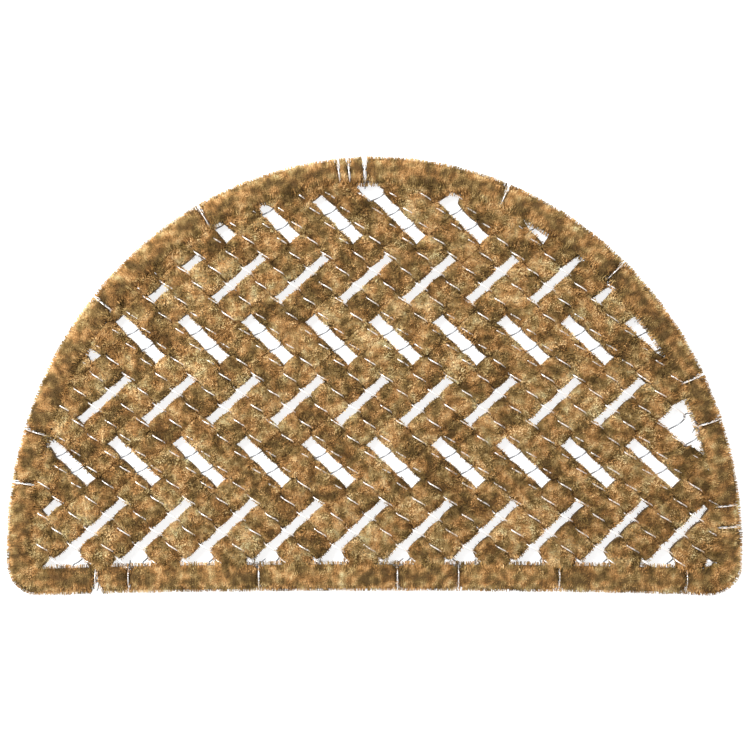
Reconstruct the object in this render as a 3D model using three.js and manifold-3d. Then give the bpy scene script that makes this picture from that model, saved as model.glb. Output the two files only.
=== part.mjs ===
// A half-round coir doormat of the wire brush kind, in millimetres.
// X runs along the straight base, Y towards the top of the arch, Z up from the floor.
// Coir is packed into the cells of a wire mesh, and cells left empty make the herringbone.
// A frame rod runs round the mesh, and a round coir brush is tied to the rod as a border.
import * as THREE from "three";
import { mergeVertices } from "three/addons/utils/BufferGeometryUtils.js";
import Module from "manifold-3d";

// Outline of the whole mat
const MAT_WIDTH = 762;
const MAT_DEPTH = 455;
const ARCH_RISE = 405;
const CORNER_RADIUS = 34;
const BASE_BOW = 5;
const COIR_HEIGHT = 25;
const CLEARANCE = 0.3;

// Border brush, frame rod and tie wires
const BORDER_WIDTH = 26;
const BRUSH_SIDES = 12;
const BRUSH_FOOT = 13;
const ROD_RADIUS = 1.5;
const ROD_SIDES = 6;
const TIE_WIRE_RADIUS = 0.6;
const TIE_SIDES = 5;
const TIE_STEPS = 12;
const TIE_FLOOR_GAP = 0.3;
const TIE_EDGE_GAP = 2.6;
const ARCH_STEP = 33;
const CORNER_STEP = 9;

// Wire mesh: half the cell's width and height, and how far a row slips sideways
const CELL_HALF_WIDTH = 16.65;
const CELL_HALF_HEIGHT = 15.85;
const ROW_SLIP = -0.344;
const FIRST_CELL = { x: 21.42, y: 38 };
const LATTICE = { columns: 26, topRow: -14, bottomRow: 18 };
const REPEAT = { columns: 4, rows: 8 };

// How far the mesh is pulled out of true at a height of 200 over or under the mat's middle: narrower at the
// top and wider at the base, bowed to the right and sagging at both, and tilted down to the right
const MESH_PULL = { height: 200, narrowing: 0.023, bow: 4.5, sag: 2.5, tilt: 0.0039 };

// Coir in the field: how far it spreads past its cell, and the roll of its top edge
const GROOVE_OVERLAP = 1.2;
const EDGE_ROLL = 5;
const EDGE_DROP = 7;
const ROLL_STEPS = 2;

// Empty cells of one herringbone repeat. A falling gap runs down to the right, a rising one up.
const EMPTY_CELLS = [
  { gap: "falling", column: 3, row: 7 },
  { gap: "falling", column: 0, row: 0 },
  { gap: "falling", column: 1, row: 1 },
  { gap: "rising", column: 3, row: 3 },
  { gap: "rising", column: 2, row: 4 },
  { gap: "rising", column: 1, row: 5 },
];

// At the base every rising gap runs on through two more cells, down to the border.
const BASE_CELLS = [
  { column: 0, row: 14 },
  { column: 1, row: 15 },
];

// Cells by the border that the hand that filled them left out of the pattern
const ODD_CELLS = [
  { column: -14, row: -4, gap: null },
  { column: -22, row: 12, gap: null },
  { column: 18, row: 6, gap: "rising" },
  { column: 19, row: 5, gap: "rising" },
  { column: 4, row: -10, gap: "rising" },
  { column: -2, row: -10, gap: "rising" },
  { column: 19, row: 11, gap: "closing" },
];

// How far coir spreads into an empty cell over a side that runs down to the right, or up
const SPREAD = {
  falling: { overFallingSide: 4.6, overRisingSide: 1.7 },
  rising: { overFallingSide: GROOVE_OVERLAP / 2, overRisingSide: 6.2 },
  closing: { overFallingSide: 5.5, overRisingSide: 6.2 },
};

// Ties, by their distance along the outer edge, anticlockwise from the arch's right foot
const TIES = [
  { along: 22, slit: 2.2 },
  { along: 45, slit: 1.9 },
  { along: 136, slit: 2.2 },
  { along: 186, slit: 2.4 },
  { along: 329, slit: 2.6 },
  { along: 474, slit: 2.6 },
  { along: 628, slit: 3.4 },
  { along: 645, slit: 2.2 },
  { along: 656, slit: 2.2 },
  { along: 810, slit: 2.6 },
  { along: 954, slit: 2.6 },
  { along: 1110, slit: 2.4 },
  { along: 1166, slit: 2.4 },
  { along: 1364, slit: 4.5 },
  { along: 1398, slit: 1.9 },
  { along: 1532, slit: 1.9 },
  { along: 1675, slit: 1.9 },
  { along: 1738, slit: 2.2 },
  { along: 1842, slit: 1.9 },
  { along: 1973, slit: 2.2 },
];

const manifold = await Module();
manifold.setup();

const COIR = new THREE.MeshStandardMaterial({ color: 0x8d6a3a, roughness: 0.95, metalness: 0 });
const BORDER_COIR = new THREE.MeshStandardMaterial({ color: 0x9c7745, roughness: 0.95, metalness: 0 });
const ZINC = new THREE.MeshStandardMaterial({ color: 0x9fa3a6, roughness: 0.45, metalness: 0.9 });

const halfWidth = MAT_WIDTH / 2;
const baseY = -MAT_DEPTH / 2;
const footY = MAT_DEPTH / 2 - ARCH_RISE;
const coreZ = COIR_HEIGHT / 2;
const fieldInset = BORDER_WIDTH + ROD_RADIUS + CLEARANCE;

// The outer edge, anticlockwise from the arch's right foot: arch, left corner, base, right corner.
function outerEdge() {
  const straightHalf = halfWidth - CORNER_RADIUS;
  const cornerY = baseY + CORNER_RADIUS;
  const bowHandle = straightHalf * 0.42;
  const bowLift = (BASE_BOW * 4) / 3;
  const edge = new THREE.CurvePath();
  edge.add(new THREE.EllipseCurve(0, footY, halfWidth, ARCH_RISE, 0, Math.PI));
  edge.add(new THREE.LineCurve(new THREE.Vector2(-halfWidth, footY), new THREE.Vector2(-halfWidth, cornerY)));
  edge.add(
    new THREE.EllipseCurve(-straightHalf, cornerY, CORNER_RADIUS, CORNER_RADIUS, Math.PI, 1.5 * Math.PI),
  );
  edge.add(
    new THREE.CubicBezierCurve(
      new THREE.Vector2(-straightHalf, baseY),
      new THREE.Vector2(-straightHalf + bowHandle, baseY + bowLift),
      new THREE.Vector2(straightHalf - bowHandle, baseY + bowLift),
      new THREE.Vector2(straightHalf, baseY),
    ),
  );
  edge.add(
    new THREE.EllipseCurve(straightHalf, cornerY, CORNER_RADIUS, CORNER_RADIUS, 1.5 * Math.PI, 2 * Math.PI),
  );
  edge.add(new THREE.LineCurve(new THREE.Vector2(halfWidth, cornerY), new THREE.Vector2(halfWidth, footY)));
  for (const run of edge.curves) run.arcLengthDivisions = 800;
  return edge;
}

const EDGE = outerEdge();
const edgeLength = EDGE.getLength();
const runLengths = EDGE.curves.map((run) => run.getLength());
const cornerRuns = [2, 4];

// A place on the outer edge: its point, the way along the edge and the way into the mat.
function placeOnEdge(along) {
  const u = (((along % edgeLength) + edgeLength) % edgeLength) / edgeLength;
  const forward = EDGE.getTangentAt(u);
  return { point: EDGE.getPointAt(u), forward, inward: new THREE.Vector2(-forward.y, forward.x) };
}

// Distances along the edge from one place to another, close together round the two corners.
function stepsAlong(from, to) {
  const steps = [from];
  let start = 0;
  while (start < to) {
    for (const [index, length] of runLengths.entries()) {
      const first = Math.max(from, start);
      const last = Math.min(to, start + length);
      const longest = cornerRuns.includes(index) ? CORNER_STEP : ARCH_STEP;
      const count = Math.ceil((last - first) / longest);
      for (let k = 1; k <= count; k += 1) steps.push(first + ((last - first) * k) / count);
      start += length;
    }
  }
  return steps;
}

// A stretch of the edge, set in from it by a given width at the height of the mesh.
class EdgeStretch extends THREE.Curve {
  constructor(distances, inset) {
    super();
    this.places = distances.map(placeOnEdge);
    this.inset = inset;
  }

  place(u) {
    return this.places[Math.round(u * (this.places.length - 1))];
  }

  getPoint(u) {
    const { point, inward } = this.place(u);
    const inner = point.clone().addScaledVector(inward, this.inset);
    return new THREE.Vector3(inner.x, inner.y, coreZ);
  }

  getPointAt(u) {
    return this.getPoint(u);
  }

  getTangentAt(u) {
    const { forward } = this.place(u);
    return new THREE.Vector3(forward.x, forward.y, 0);
  }
}

// Carries a section along the edge. Its points are given as inward distance and height.
function sweepAlongEdge(section, distances, inset) {
  const shape = new THREE.Shape(section.map(({ inward, up }) => new THREE.Vector2(-up, inward)));
  const extrudePath = new EdgeStretch(distances, inset);
  return new THREE.ExtrudeGeometry(shape, { steps: distances.length - 1, extrudePath });
}

// The brush's round section, flat where it rests, with a groove for the frame rod.
function brushSection() {
  const radius = BORDER_WIDTH / 2;
  const grooveHalf = ROD_RADIUS + CLEARANCE;
  const grooveFloor = radius - grooveHalf;
  const mouth = radius * Math.sqrt(1 - (grooveHalf / coreZ) ** 2);
  const points = [];
  const lastSide = BRUSH_SIDES / 2 + 1;
  for (let k = -1; k <= lastSide; k += 1) {
    const turn = (2 * Math.PI * k) / BRUSH_SIDES;
    if (k === 0) {
      points.push({ inward: mouth, up: -grooveHalf });
      points.push({ inward: grooveFloor, up: -grooveHalf });
      points.push({ inward: grooveFloor, up: grooveHalf });
      points.push({ inward: mouth, up: grooveHalf });
    } else {
      points.push({ inward: radius * Math.cos(turn), up: coreZ * Math.sin(turn) });
    }
  }
  points.push({ inward: -BRUSH_FOOT / 2, up: -coreZ });
  points.push({ inward: BRUSH_FOOT / 2, up: -coreZ });
  return points;
}

function rodSection() {
  const points = [];
  for (let k = 0; k < ROD_SIDES; k += 1) {
    const turn = (2 * Math.PI * (k + 0.5)) / ROD_SIDES;
    points.push({ inward: ROD_RADIUS * Math.cos(turn), up: ROD_RADIUS * Math.sin(turn) });
  }
  return points;
}

// Border: one length of brush between each tie and the next
function borderBrushes() {
  const section = brushSection();
  return TIES.map((tie, index) => {
    const next = TIES[(index + 1) % TIES.length];
    const from = tie.along + tie.slit / 2;
    const lap = index + 1 < TIES.length ? 0 : edgeLength;
    const to = next.along + lap - next.slit / 2;
    const geometry = sweepAlongEdge(section, stepsAlong(from, to), BORDER_WIDTH / 2);
    return named(`border_brush_${pad(index + 1)}`, geometry, BORDER_COIR);
  });
}

// Frame rod: one rod bent round the mesh, its two ends butted in the middle of the base
function frameRod() {
  const butt = runLengths[0] + runLengths[1] + runLengths[2] + runLengths[3] / 2;
  const steps = stepsAlong(butt + CLEARANCE / 2, butt + edgeLength - CLEARANCE / 2);
  return named("frame_rod", sweepAlongEdge(rodSection(), steps, BORDER_WIDTH), ZINC);
}

// Ties: a wire ring round the brush and the rod in each slit, pulled to an oval
const tieInnerReach = BORDER_WIDTH + ROD_RADIUS + CLEARANCE + TIE_WIRE_RADIUS;
const tieHalfHeight = coreZ - TIE_FLOOR_GAP - TIE_WIRE_RADIUS;
const tieHalfWidth = (tieInnerReach - TIE_EDGE_GAP - TIE_WIRE_RADIUS) / 2;

function tieRings() {
  return TIES.map((tie, index) => {
    const { point, inward } = placeOnEdge(tie.along);
    const ring = new THREE.TorusGeometry(tieHalfHeight, TIE_WIRE_RADIUS, TIE_SIDES, TIE_STEPS);
    ring.rotateX(Math.PI / 2);
    ring.scale(tieHalfWidth / tieHalfHeight, 1, 1);
    const mesh = named(`tie_wire_${pad(index + 1)}`, ring, ZINC);
    const centre = point.clone().addScaledVector(inward, tieInnerReach - tieHalfWidth);
    mesh.position.set(centre.x, centre.y, coreZ);
    mesh.rotation.z = inward.angle();
    return mesh;
  });
}

// Field: what a mesh cell holds, by its column and row
function wrap(value, size) {
  return ((value % size) + size) % size;
}

function gapAt(column, row) {
  const odd = ODD_CELLS.find((cell) => cell.column === column && cell.row === row);
  if (odd) return odd.gap;
  const atBase = BASE_CELLS.some(
    (cell) => row === cell.row && wrap(column, REPEAT.columns) === cell.column,
  );
  if (atBase) return "rising";
  const empty = EMPTY_CELLS.find(
    (cell) =>
      cell.column === wrap(column, REPEAT.columns) && cell.row === wrap(row, REPEAT.rows),
  );
  return empty ? empty.gap : null;
}

const fallingStep = new THREE.Vector2(CELL_HALF_WIDTH + ROW_SLIP, -CELL_HALF_HEIGHT);
const risingStep = new THREE.Vector2(CELL_HALF_WIDTH - ROW_SLIP, CELL_HALF_HEIGHT);
const cellArea = fallingStep.x * risingStep.y - fallingStep.y * risingStep.x;
const acrossFalling = cellArea / fallingStep.length();
const acrossRising = cellArea / risingStep.length();

function cellCentre(column, row) {
  const x = FIRST_CELL.x + CELL_HALF_WIDTH * column + ROW_SLIP * row;
  return new THREE.Vector2(x, FIRST_CELL.y - CELL_HALF_HEIGHT * row);
}

function pulled({ x, y }) {
  const share = y / MESH_PULL.height;
  return new THREE.Vector2(
    x * (1 - MESH_PULL.narrowing * share) + MESH_PULL.bow * share ** 2,
    y - MESH_PULL.sag * share ** 2 - MESH_PULL.tilt * x,
  );
}

function spreadOverFallingSide(column, row) {
  const gap = gapAt(column, row);
  return 0.5 + (gap ? SPREAD[gap].overFallingSide : GROOVE_OVERLAP / 2) / acrossFalling;
}

function spreadOverRisingSide(column, row) {
  const gap = gapAt(column, row);
  return 0.5 + (gap ? SPREAD[gap].overRisingSide : 0) / acrossRising;
}

// The plan outline of a run of filled cells, which the mesh holds down to the right.
function runOutline(column, row, count) {
  const start = -spreadOverRisingSide(column - 1, row - 1);
  const end = count - 1 + spreadOverRisingSide(column + count, row + count);
  const upper = [];
  const lower = [];
  for (let k = 0; k < count; k += 1) {
    const left = k === 0 ? start : k - 0.5;
    const right = k === count - 1 ? end : k + 0.5;
    const above = spreadOverFallingSide(column + k + 1, row + k - 1);
    const below = -spreadOverFallingSide(column + k - 1, row + k + 1);
    upper.push([left, above], [right, above]);
    lower.push([left, below], [right, below]);
  }
  const centre = cellCentre(column, row);
  return [...lower, ...upper.reverse()]
    .filter((point, index, all) => index === 0 || !sameSpot(point, all[index - 1]))
    .filter((point, index, all) => !inLine(all.at(index - 1), point, all[(index + 1) % all.length]))
    .map(([along, across]) =>
      pulled(centre.clone().addScaledVector(fallingStep, along).addScaledVector(risingStep, across)),
    );
}

function sameSpot([along, across], [otherAlong, otherAcross]) {
  return along === otherAlong && across === otherAcross;
}

function inLine([, before], [, across], [, after]) {
  return before === across && across === after;
}

// All runs of filled cells, each as long as the falling diagonal stays filled
function filledRuns() {
  const runs = [];
  for (let row = LATTICE.topRow; row <= LATTICE.bottomRow; row += 1) {
    for (let column = -LATTICE.columns; column <= LATTICE.columns; column += 1) {
      if (wrap(column + row, 2) === 1 || gapAt(column, row)) continue;
      const opensHere = row === LATTICE.topRow || column === -LATTICE.columns;
      if (!opensHere && !gapAt(column - 1, row - 1)) continue;
      let count = 1;
      while (!gapAt(column + count, row + count) && row + count <= LATTICE.bottomRow) count += 1;
      runs.push({ column, row, count });
    }
  }
  return runs;
}

// Coir over a run of cells: upright sides, with a top edge that rolls over
function coirRun({ column, row, count }) {
  const outline = new THREE.Shape(runOutline(column, row, count));
  const solid = new THREE.ExtrudeGeometry(outline, {
    depth: COIR_HEIGHT,
    bevelThickness: EDGE_DROP,
    bevelSize: EDGE_ROLL,
    bevelOffset: -EDGE_ROLL,
    bevelSegments: ROLL_STEPS,
  });
  return toManifold(solid.translate(0, 0, -EDGE_DROP));
}

function toManifold(geometry) {
  const bare = geometry.index ? geometry.toNonIndexed() : geometry.clone();
  bare.deleteAttribute("normal");
  bare.deleteAttribute("uv");
  const merged = mergeVertices(bare, 1e-3);
  return new manifold.Manifold(
    new manifold.Mesh({
      numProp: 3,
      vertProperties: merged.attributes.position.array,
      triVerts: new Uint32Array(merged.index.array),
    }),
  );
}

function toGeometry(solid) {
  const { vertProperties, triVerts } = solid.getMesh();
  const geometry = new THREE.BufferGeometry();
  geometry.setAttribute("position", new THREE.BufferAttribute(vertProperties, 3));
  geometry.setIndex(new THREE.BufferAttribute(triVerts, 1));
  geometry.computeVertexNormals();
  return geometry;
}

// Everything inside the border and the rod, from the floor up
function fieldSpace() {
  const inner = stepsAlong(0, edgeLength)
    .slice(0, -1)
    .map(placeOnEdge)
    .map(({ point, inward }) => point.clone().addScaledVector(inward, fieldInset));
  return toManifold(
    new THREE.ExtrudeGeometry(new THREE.Shape(inner), { depth: 2 * COIR_HEIGHT, bevelEnabled: false }),
  );
}

// Room in the field's rim for the inner turn of each tie
function tieRooms() {
  const room = 2 * (TIE_WIRE_RADIUS + CLEARANCE);
  const reach = tieInnerReach + TIE_WIRE_RADIUS + CLEARANCE;
  return TIES.map(({ along }) => {
    const { point, inward } = placeOnEdge(along);
    const box = new THREE.BoxGeometry(2 * (reach - fieldInset), room, tieHalfHeight * 1.5);
    const centre = point.clone().addScaledVector(inward, fieldInset);
    box.rotateZ(inward.angle());
    return toManifold(box.translate(centre.x, centre.y, coreZ));
  });
}

function coirField() {
  const packed = manifold.Manifold.union(filledRuns().map(coirRun));
  const trimmed = packed.intersect(fieldSpace()).subtract(manifold.Manifold.union(tieRooms()));
  const [body] = trimmed.decompose().sort((a, b) => b.volume() - a.volume());
  return named("coir_field", toGeometry(body), COIR);
}

function named(name, geometry, material) {
  const mesh = new THREE.Mesh(geometry, material);
  mesh.name = name;
  return mesh;
}

function pad(number) {
  return String(number).padStart(2, "0");
}

const doormat = new THREE.Group();
doormat.add(coirField(), frameRod(), ...borderBrushes(), ...tieRings());

export default doormat;
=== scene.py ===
import bpy
import numpy as np
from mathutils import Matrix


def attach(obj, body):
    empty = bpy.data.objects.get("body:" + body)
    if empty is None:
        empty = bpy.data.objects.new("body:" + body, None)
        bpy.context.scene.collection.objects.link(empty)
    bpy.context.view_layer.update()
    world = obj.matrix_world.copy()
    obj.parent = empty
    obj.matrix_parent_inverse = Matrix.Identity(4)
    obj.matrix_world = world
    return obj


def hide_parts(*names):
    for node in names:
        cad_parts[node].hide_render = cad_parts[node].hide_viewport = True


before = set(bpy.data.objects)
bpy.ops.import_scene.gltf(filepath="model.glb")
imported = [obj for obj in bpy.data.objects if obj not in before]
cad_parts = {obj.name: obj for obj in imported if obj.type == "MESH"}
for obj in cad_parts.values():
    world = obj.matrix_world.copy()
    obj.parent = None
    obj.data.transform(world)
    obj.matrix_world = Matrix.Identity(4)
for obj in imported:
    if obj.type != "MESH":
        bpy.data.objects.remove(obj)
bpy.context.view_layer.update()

# Frame rod. One galvanised steel rod, 3 mm thick, is bent to the mat's outline and lies just inside the
# border. Its two ends butt together in the middle of the base, and the mesh and the border hold on to it.
MM = 0.001
MAT_WIDTH = 762 * MM
MAT_DEPTH = 455 * MM
ARCH_RISE = 405 * MM
CORNER_RADIUS = 34 * MM
BASE_BOW = 5 * MM
COIR_HEIGHT = 25 * MM
BORDER_WIDTH = 26 * MM
ROD_RADIUS = 1.5 * MM
ROD_SIDES = 10
ROD_STEP = 5 * MM
ROD_BUTT_GAP = 0.3 * MM
ARCH_POINTS = 1500
CORNER_POINTS = 80
BASE_POINTS = 900
BASE_HANDLE = 0.42
MID_HEIGHT = COIR_HEIGHT / 2
UP = np.array([0.0, 0.0, 1.0])

# Zinc: the depth over which its painted shade below a height turns to a painted highlight above it, the size
# of its dull patches, and the fine marks left by drawing the wire
PAINTED_SHINE_DEPTH = 4 * MM
ZINC_PATCH = 9 * MM
DRAWN_GRAIN = 0.5 * MM
DRAWN_DEPTH = 0.05 * MM
# Dull zinc, which also serves as painted shade, and bright zinc, which also serves as a painted highlight
ZINC_DULL_AND_SHADE = (0.22, 0.228, 0.24, 1)
ZINC_BRIGHT_AND_SHINE = (0.82, 0.78, 0.75, 1)


def outer_edge():
    """The mat's outer edge, anticlockwise from the arch's right foot, with the distance along it.

    The arch is half an ellipse, each corner a quarter circle, and the base a cubic curve bowed inwards.
    """
    straight_half = MAT_WIDTH / 2 - CORNER_RADIUS
    base_y = -MAT_DEPTH / 2
    foot_y = MAT_DEPTH / 2 - ARCH_RISE
    corner_y = base_y + CORNER_RADIUS
    half_turn = np.linspace(0, np.pi, ARCH_POINTS)[:, None]
    quarter = np.linspace(0, np.pi / 2, CORNER_POINTS)[:, None]
    t = np.linspace(0, 1, BASE_POINTS)[:, None]
    arch = np.hstack([MAT_WIDTH / 2 * np.cos(half_turn), foot_y + ARCH_RISE * np.sin(half_turn)])
    out, down = CORNER_RADIUS * np.cos(quarter), CORNER_RADIUS * np.sin(quarter)
    left = np.hstack([-straight_half - out, corner_y - down])
    right = np.hstack([straight_half + down, corner_y - out])
    handle = straight_half * (1 - BASE_HANDLE)
    across = straight_half * (t**3 - (1 - t) ** 3) + 3 * handle * (t**2 * (1 - t) - t * (1 - t) ** 2)
    lift = 4 * BASE_BOW * t * (1 - t)
    points = np.vstack([arch, left, np.hstack([across, base_y + lift]), right, arch[:1]])
    along = np.concatenate([[0], np.cumsum(np.hypot(*np.diff(points, axis=0).T))])
    fresh = np.concatenate([[True], np.diff(along) > 1e-9])
    return points[fresh], along[fresh]


EDGE, EDGE_ALONG = outer_edge()
EDGE_LENGTH = EDGE_ALONG[-1]


def edge_point(along):
    """Plan points at these distances along the outer edge, which runs on round past its start."""
    return np.stack([np.interp(along, EDGE_ALONG, EDGE[:, k], period=EDGE_LENGTH) for k in range(2)], axis=-1)


def edge_ways(along):
    """Unit plan vectors along the outer edge and into the mat, from the slope between points 1 mm apart."""
    forward = edge_point(along + 0.5 * MM) - edge_point(along - 0.5 * MM)
    forward /= np.linalg.norm(forward, axis=-1, keepdims=True)
    return forward, np.stack([-forward[..., 1], forward[..., 0]], axis=-1)


def inside_edge(along, inset, height):
    """Points in space at a distance along the edge, set in from it and raised: edge + inset * way in."""
    plan = edge_point(along) + np.asarray(inset)[..., None] * edge_ways(along)[1]
    height = np.broadcast_to(np.asarray(height)[..., None], plan.shape[:-1] + (1,))
    return np.concatenate([plan, height], axis=-1)


def grid_faces(rows, columns, rows_close=False):
    """Four-cornered faces over a grid of points numbered row by row. Its last column meets its first."""
    number = np.arange(rows * columns).reshape(rows, columns)
    number = np.hstack([number, number[:, :1]])
    if rows_close:
        number = np.vstack([number, number[:1]])
    corners = [number[:-1, :-1], number[:-1, 1:], number[1:, 1:], number[1:, :-1]]
    return np.stack(corners, axis=-1).reshape(-1, 4)


def wire(path, radius, sides, beside, closed=False):
    """A round wire along a path: path + radius * (cos turn * normal + sin turn * (way * normal)).

    The normal is square to the path and to the vector beside, which never lies along the path.
    """
    way = np.roll(path, -1, axis=0) - np.roll(path, 1, axis=0) if closed else np.gradient(path, axis=0)
    way /= np.linalg.norm(way, axis=1, keepdims=True)
    normal = np.cross(way, beside)
    normal /= np.linalg.norm(normal, axis=1, keepdims=True)
    turn = (2 * np.pi * np.arange(sides) / sides)[None, :, None]
    ring = np.cos(turn) * normal[:, None] + np.sin(turn) * np.cross(way, normal)[:, None]
    points = (path[:, None] + radius * ring).reshape(-1, 3)
    faces = [grid_faces(len(path), sides, closed)]
    if not closed:
        ends = np.arange(sides)
        faces.append(np.stack([ends[::-1], ends + len(points) - sides]))
    return points, faces


def joined(parts):
    """Several (points, faces) as one: the corner numbers of each part move up by the points before it."""
    starts = np.cumsum([0] + [len(points) for points, _ in parts])
    faces = [group + start for (_, groups), start in zip(parts, starts) for group in groups]
    return np.concatenate([points for points, _ in parts]), faces


def piece(name, shape, finish, replaced=(), marks=None):
    """A mesh object from (points, faces), with its finish and any marks kept at its points."""
    points, groups = shape
    mesh = bpy.data.meshes.new(name)
    corners = np.concatenate([group.ravel() for group in groups])
    sizes = np.concatenate([np.full(len(group), group.shape[1]) for group in groups])
    mesh.vertices.add(len(points))
    mesh.vertices.foreach_set("co", points.astype(np.float32).ravel())
    mesh.loops.add(len(corners))
    mesh.loops.foreach_set("vertex_index", corners.astype(np.int32))
    mesh.polygons.add(len(sizes))
    mesh.polygons.foreach_set("loop_start", (np.cumsum(sizes) - sizes).astype(np.int32))
    mesh.polygons.foreach_set("use_smooth", np.ones(len(sizes), bool))
    mesh.update(calc_edges=True)
    for mark, values in (marks or {}).items():
        kind, field = ("FLOAT", "value") if values.ndim == 1 else ("FLOAT_VECTOR", "vector")
        layer = mesh.attributes.new(mark, kind, "POINT")
        layer.data.foreach_set(field, values.astype(np.float32).ravel())
    mesh.materials.append(finish)
    made = bpy.data.objects.new(name, mesh)
    bpy.context.collection.objects.link(made)
    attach(made, "root")
    if replaced:
        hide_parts(*replaced)


class Socket:
    """A value in a material. Arithmetic on it adds Math nodes, and node() adds a node of any kind."""

    def __init__(self, tree, output):
        self.tree = tree
        self.output = output

    def node(self, kind, settings=None, sockets=None, output=0):
        """Adds a node: first its settings or a ramp's stops, then its sockets' values or links."""
        made = self.tree.nodes.new(kind)
        for name, value in (settings or {}).items():
            if name == "stops":
                for stop in range(2, len(value)):
                    made.color_ramp.elements.new(stop / len(value))
                for element, (position, colour) in zip(made.color_ramp.elements, value):
                    element.position = position
                    element.color = colour
            else:
                setattr(made, name, value)
        for name, value in (sockets or {}).items():
            if isinstance(value, Socket):
                self.tree.links.new(value.output, made.inputs[name])
            else:
                made.inputs[name].default_value = value
        return Socket(self.tree, made.outputs[output])

    def math(self, operation, first, second):
        return self.node("ShaderNodeMath", {"operation": operation}, {0: first, 1: second})

    def __add__(self, other):
        return self.math("ADD", self, other)

    def __radd__(self, other):
        return self.math("ADD", other, self)

    def __sub__(self, other):
        return self.math("SUBTRACT", self, other)

    def __rsub__(self, other):
        return self.math("SUBTRACT", other, self)

    def __mul__(self, other):
        return self.math("MULTIPLY", self, other)

    def __rmul__(self, other):
        return self.math("MULTIPLY", other, self)

    def noise(self, size, detail=2.0, stretch=(1, 1, 1)):
        """Noise over these coordinates, from 0 to 1, with grains of about this size in metres."""
        scaled = self.node("ShaderNodeVectorMath", {"operation": "MULTIPLY"}, {0: self, 1: stretch})
        return self.node("ShaderNodeTexNoise", None, {"Vector": scaled, "Scale": 1 / size, "Detail": detail})

    def between(self, low, high):
        """The colour this share of the way from one colour to another."""
        return self.node("ShaderNodeMix", {"data_type": "RGBA"}, {0: self, 6: low, 7: high}, output=2)

    def bump(self, depth):
        """A normal that follows this height, of a depth in metres."""
        return self.node("ShaderNodeBump", None, {"Height": self, "Distance": depth, "Strength": 1.0})


def new_finish(name, roughness, metallic=0.0):
    """A material with its shader's constant values set, its shader, and the object's own coordinates."""
    finish = bpy.data.materials.new(name)
    finish.use_nodes = True
    tree = finish.node_tree
    shader = tree.nodes["Principled BSDF"]
    shader.inputs["Roughness"].default_value = roughness
    shader.inputs["Metallic"].default_value = metallic
    place = Socket(tree, tree.nodes.new("ShaderNodeTexCoord").outputs["Object"])
    return finish, shader, place


def feed(shader, name, value):
    """Links a worked out value to one of the shader's sockets."""
    value.tree.links.new(value.output, shader.inputs[name])


def galvanised(name, painted_shine_height):
    """Zinc-coated wire: dull grey in patches, with a painted shade below a height over the floor and a painted
    highlight above it.
    """
    finish, shader, place = new_finish(name, 0.35, metallic=0.7)
    patches = place.noise(ZINC_PATCH, detail=3)
    drawn = place.noise(DRAWN_GRAIN)
    height = place.node("ShaderNodeSeparateXYZ", None, {0: place}, output="Z")
    # Painted light: darker below the given height as painted shade and brighter above it as a painted
    # highlight, mixed with the real dull patches and drawing marks
    painted_shine = (height - painted_shine_height) * (1 / PAINTED_SHINE_DEPTH) + patches * 0.5 + drawn * 0.3 - 0.4
    feed(shader, "Base Color", painted_shine.between(ZINC_DULL_AND_SHADE, ZINC_BRIGHT_AND_SHINE))
    feed(shader, "Roughness", patches * 0.25 + 0.25)
    feed(shader, "Normal", drawn.bump(DRAWN_DEPTH))
    return finish


base_middle = EDGE_ALONG[np.argmin(np.hypot(EDGE[:, 0], EDGE[:, 1] + MAT_DEPTH / 2 - BASE_BOW))]
rod_along = np.linspace(
    base_middle + ROD_BUTT_GAP / 2,
    base_middle + EDGE_LENGTH - ROD_BUTT_GAP / 2,
    int(EDGE_LENGTH / ROD_STEP),
)
rod_path = inside_edge(rod_along, np.full(len(rod_along), BORDER_WIDTH), MID_HEIGHT)
# The rod: painted shade below 16 mm over the floor, a painted highlight above
rod_zinc = galvanised("zinc of the frame rod", 16 * MM)
piece("frame_rod_bent", wire(rod_path, ROD_RADIUS, ROD_SIDES, UP), rod_zinc, ["frame_rod"])

# Wire mesh. Flattened spirals of galvanised wire run up and down the mat, each hooked through the next
# one's bends. The wire crosses down to the right in front, and back to the left behind, and each of its
# cut ends is turned round the frame rod.
MESH_WIRE_RADIUS = 0.82 * MM
MESH_WIRE_SIDES = 5
MESH_STEPS_PER_ROW = 12
CELL_HALF_WIDTH = 16.65 * MM
CELL_HALF_HEIGHT = 15.85 * MM
ROW_SLIP = -0.344 * MM
FIRST_CELL = np.array([21.42, 38.0]) * MM

# How far the mesh is pulled out of true at this height over or under the mat's middle: narrower at the top
# and wider at the base, bowed to the right and sagging at both, and tilted down to the right
PULL_HEIGHT = 200 * MM
PULL_NARROWING = 0.023
PULL_BOW = 4.5 * MM
PULL_SAG = 2.5 * MM
PULL_TILT = 0.0039

COLUMNS = 26
TOP_ROW = -14
BOTTOM_ROW = 18
SPIRAL_HALF_WIDTH = 9.2 * MM
SPIRAL_HALF_DEPTH = 6.6 * MM
SPIRAL_MID_HEIGHT = 13 * MM
SPIRAL_WANDER = 0.35 * MM
BACK_SAG = 1.6 * MM
SPIRAL_END_INSET = 30 * MM
NEARLY_DOWN_THE_MAT = np.array([0.05, 1.0, 0.02])

# The hook of a wire's end: the turn that it starts at, in half turns, and the two points that lead to it
HOOK_START = 0.15
HOOK_TURNS = 1.3
HOOK_STEPS = 18
HOOK_ADVANCE = 1.6 * MM
HOOK_SLACK = 1.1
HOOK_LEAD = np.array([0.35, 0.7])

# The grid on which the distance inside the outer edge is worked out once, and then read between its points
EDGE_SPACING = 1 * MM
MAP_SPACING = 4 * MM
MAP_MARGIN = 4 * MAP_SPACING


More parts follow.
